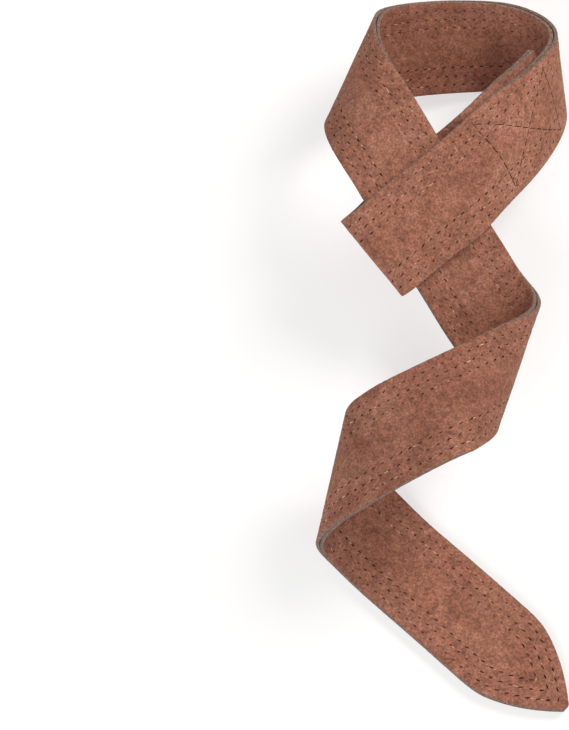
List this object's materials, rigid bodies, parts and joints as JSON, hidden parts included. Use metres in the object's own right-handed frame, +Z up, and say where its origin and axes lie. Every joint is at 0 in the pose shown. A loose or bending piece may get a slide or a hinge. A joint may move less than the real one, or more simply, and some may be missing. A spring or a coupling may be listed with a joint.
{
  "type": "weightlifting strap",
  "caption": "Two-ply suede strap for a lifter's wrist: the pointed tail runs round the wrist loop and through the eye of the turned-back end, then lies curled on the floor.",
  "frame": {"origin": "on the floor, under the middle of the strap's bounding box as it lies", "axes": "+Y from the pointed tip towards the wrist loop, +Z up from the floor that the strap lies on"},
  "size_m": [0.1018, 0.2896, 0.0652],
  "materials": {
    "outer_suede": "brushed suede, matte",
    "inner_suede": "brushed suede, matte"
  },
  "bodies": {
    "root": {"outer_ply": "outer_suede", "inner_ply": "inner_suede"}
  },
  "joints": []
}
